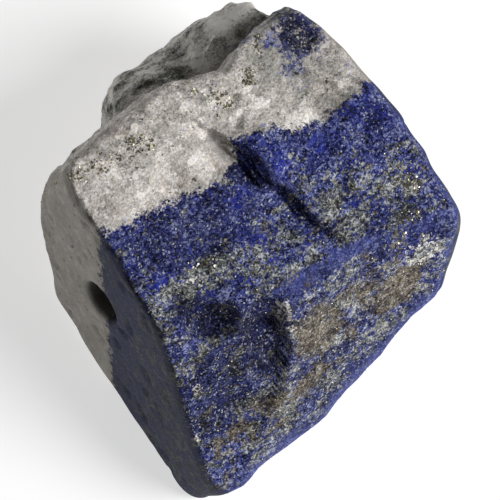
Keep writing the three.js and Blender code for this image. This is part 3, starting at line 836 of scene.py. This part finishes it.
def lapisMaterial():
    # Lazurite or calcite, with painted glints on its broken grains, and painted shade inside the bore.
    bench, finish = NodeBench("lapis"), lapis["finish"]
    parts, tilts = lapisParts(bench)
    sawn, worn = parts["sawn"], parts["worn"]
    smooth = bench.sum("MAXIMUM", sawn, bench.sum("MULTIPLY", worn, finish["smoothWorn"]))
    smooth = bench.sum("MAXIMUM", smooth, bench.sum("MULTIPLY", parts["far"], finish["smoothFar"]))
    even = bench.sum("MULTIPLY_ADD", smooth, finish["smoothShade"], 1)  # smooth faces show less of the grain
    shade = bench.sum("SUBTRACT", mixShare(bench, parts, "shade"), 0.5)
    parts["shade"] = bench.sum("MULTIPLY_ADD", shade, even, 0.5)
    for name in ("mixed", "mixedOther"):
        parts[name] = mixShare(bench, parts, name)
    parts["whole"] = calciteShare(bench, parts)
    colour = bench.mix(parts["whole"], blueBody(bench, parts, even), whiteBody(bench, parts))
    # painted glints, fewer on sawn and worn faces
    broken = bench.sum("MULTIPLY_ADD", bench.sum("MAXIMUM", sawn, worn), -finish["paintedGlint"], finish["paintedGlint"])
    paintedGlint = bench.sum("MULTIPLY", mixShare(bench, parts, "paintedGlint"), broken)
    colour = bench.mix(paintedGlint, colour, paint("paintedGlint"))
    # painted shade inside the bore
    colour = covered(bench, parts["bore"], colour, "bore")
    roughness = bench.rise(parts["tinyOther"], *finish["roughness"])
    return bench.surface({
        "Base Color": colour, "Roughness": roughness, "Specular IOR Level": finish["specular"],
        "Normal": grainNormal(bench, parts, tilts, smooth),
    })


# Pyrite: small metal crystals let into the surface, gathered where the stone is rich in them.
pyrite = {
    "count": 4400, "seed": 11, "across": (0.06, 0.17), "power": 2, "sunk": 0.3,  # share under the surface
    "alone": 0.36,  # size away from the rich patches, against 1 in them
    "spread": 0.006,  # chance away from them
    "offSawn": 0.995,  # and how much less of it on the sawn faces
    "largestArea": 0.1,  # none on stretched parts of the mesh, where they would miss the surface
    "stretch": 0.6,  # sides are up to this share longer than the size
    "colour": (0.58, 0.54, 0.4), "roughness": 0.46,
    "tarnish": 0.45, "tarnishAcross": 0.5, "tarnishSpan": (0.35, 0.65),  # brightness where it is tarnished
}


def buildPyrite(points, normals, area, gold, sawn, mottle):
    # A seeded choice of places on the surface, each with a cube turned at random and pushed partly in.
    random = np.random.default_rng(pyrite["seed"])
    chance = area * (gold ** 2 + pyrite["spread"] * (1 - pyrite["offSawn"] * sawn) * mottle)
    chance = (chance * (area < pyrite["largestArea"])).ravel()
    chosen = random.choice(chance.size, pyrite["count"], replace=False, p=chance / chance.sum())
    small, large = pyrite["across"]
    across = small + (large - small) * random.random(len(chosen)) ** pyrite["power"]
    across = across * (pyrite["alone"] + (1 - pyrite["alone"]) * gold.ravel()[chosen])
    turn = np.linalg.qr(random.normal(size=(len(chosen), 3, 3)))[0]
    turn = turn * np.sign(np.linalg.det(turn))[:, None, None]
    cube = np.array([(i, j, k) for i in (-0.5, 0.5) for j in (-0.5, 0.5) for k in (-0.5, 0.5)])
    stretch = 1 + pyrite["stretch"] * random.random((len(chosen), 1, 3))
    corners = (cube[None] * stretch * across[:, None, None]) @ turn
    onward = (np.roll(points, -1, 0) - points, np.roll(points, -1, 1) - points)
    middle = points + sum(side * random.random(side.shape[:2])[..., None] for side in onward)
    middle = middle.reshape(-1, 3)[chosen] - normals[chosen] * (across * pyrite["sunk"])[:, None]
    corners = corners + middle[:, None, :]
    sides = np.array([(0, 1, 3, 2), (4, 6, 7, 5), (0, 4, 5, 1), (2, 3, 7, 6), (0, 2, 6, 4), (1, 5, 7, 3)])
    faces = (np.arange(len(chosen))[:, None, None] * 8 + sides[None]).reshape(-1, 4)
    return addMesh("pyrite_grains", (corners.reshape(-1, 3) * mm).tolist(), faces.tolist())


def pyriteMaterial():  # metal, duller in clouds of tarnish
    bench = NodeBench("pyrite")
    plain = bench.scaled(bench.add("TexCoord").outputs["Object"], 1 / mm)
    tarnished = bench.rise(bench.noise(plain, pyrite["tarnishAcross"], 2), *pyrite["tarnishSpan"])
    dull = [v * pyrite["tarnish"] for v in pyrite["colour"]]
    colour = bench.mix(tarnished, (*pyrite["colour"], 1), (*dull, 1))
    return bench.surface({"Base Color": colour, "Metallic": 1, "Roughness": pyrite["roughness"]})


skin, surface = buildStone()
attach(skin, "root")
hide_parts("lapis_stone")
skin.data.materials.append(lapisMaterial())
print("lapis material made")
crystals = buildPyrite(**surface)
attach(crystals, "root")
crystals.data.materials.append(pyriteMaterial())
print("pyrite grains:", pyrite["count"])

# The camera looks down on the front, turned about its own axis, on a floor with one soft lamp.
view = {
    "tilt": 19, "roll": 33,  # in degrees
    "target": (-0.39, -0.875, 7.0), "distance": 250, "across": 30.62,  # in millimetres, as below
    "clip": (0.01, 5),  # in metres, as the floor's half side is
    "floorHalf": 1.5, "floorGrey": 0.5, "floorRoughness": 0.9, "floorGlow": 0.6,
    "keyFrom": (0.5, -0.5, 0.7), "keyAt": (0, 0, 7), "keyDistance": 400, "keyAcross": 260, "keyPower": 1.75,
    "room": 0.12,
}


def placeCamera():
    tilt, roll = math.radians(view["tilt"]), math.radians(view["roll"])
    towards = Vector((-math.sin(tilt), 0, math.cos(tilt)))
    alongHole = Vector((math.cos(tilt), 0, math.sin(tilt)))
    across = Vector((0, 1, 0))
    right = math.cos(roll) * alongHole - math.sin(roll) * across
    up = math.sin(roll) * alongHole + math.cos(roll) * across
    data = bpy.data.cameras.new("camera")
    data.lens = data.sensor_width * view["distance"] / view["across"]
    data.clip_start, data.clip_end = view["clip"]
    camera = addObject("camera", data)
    place = Matrix((right, up, towards)).transposed().to_4x4()
    place.translation = (Vector(view["target"]) + towards * view["distance"]) * mm
    camera.matrix_world = place
    bpy.context.scene.camera = camera


def placeKeyLight():
    data = bpy.data.lights.new("key", "AREA")
    data.shape = "DISK"
    data.size = view["keyAcross"] * mm
    data.energy = view["keyPower"]
    lamp = addObject("key", data)
    way = Vector(view["keyFrom"]).normalized()
    lamp.location = (Vector(view["keyAt"]) + way * view["keyDistance"]) * mm
    lamp.rotation_mode = "QUATERNION"
    lamp.rotation_quaternion = way.to_track_quat("Z", "Y")


def placeFloor():
    half, grey = view["floorHalf"], view["floorGrey"]
    corners = [(-half, -half, 0), (half, -half, 0), (half, half, 0), (-half, half, 0)]
    floor = addMesh("floor", corners, [(0, 1, 2, 3)])
    floor.data.materials.append(NodeBench("pale_floor").surface({
        "Base Color": (grey, grey, grey, 1), "Roughness": view["floorRoughness"], "Specular IOR Level": 0,
        "Emission Color": (1, 1, 1, 1), "Emission Strength": view["floorGlow"],  # lit softly from below
    }))


def lightRoom():
    world = bpy.data.worlds.new("soft_room")
    bpy.context.scene.world = world
    world.use_nodes = True
    light = world.node_tree.nodes["Background"].inputs
    light["Color"].default_value, light["Strength"].default_value = (1, 1, 1, 1), view["room"]
    bpy.context.scene.view_settings.view_transform = "Standard"


placeCamera()
placeFloor()
placeKeyLight()
lightRoom()
print("camera, floor and lights placed")
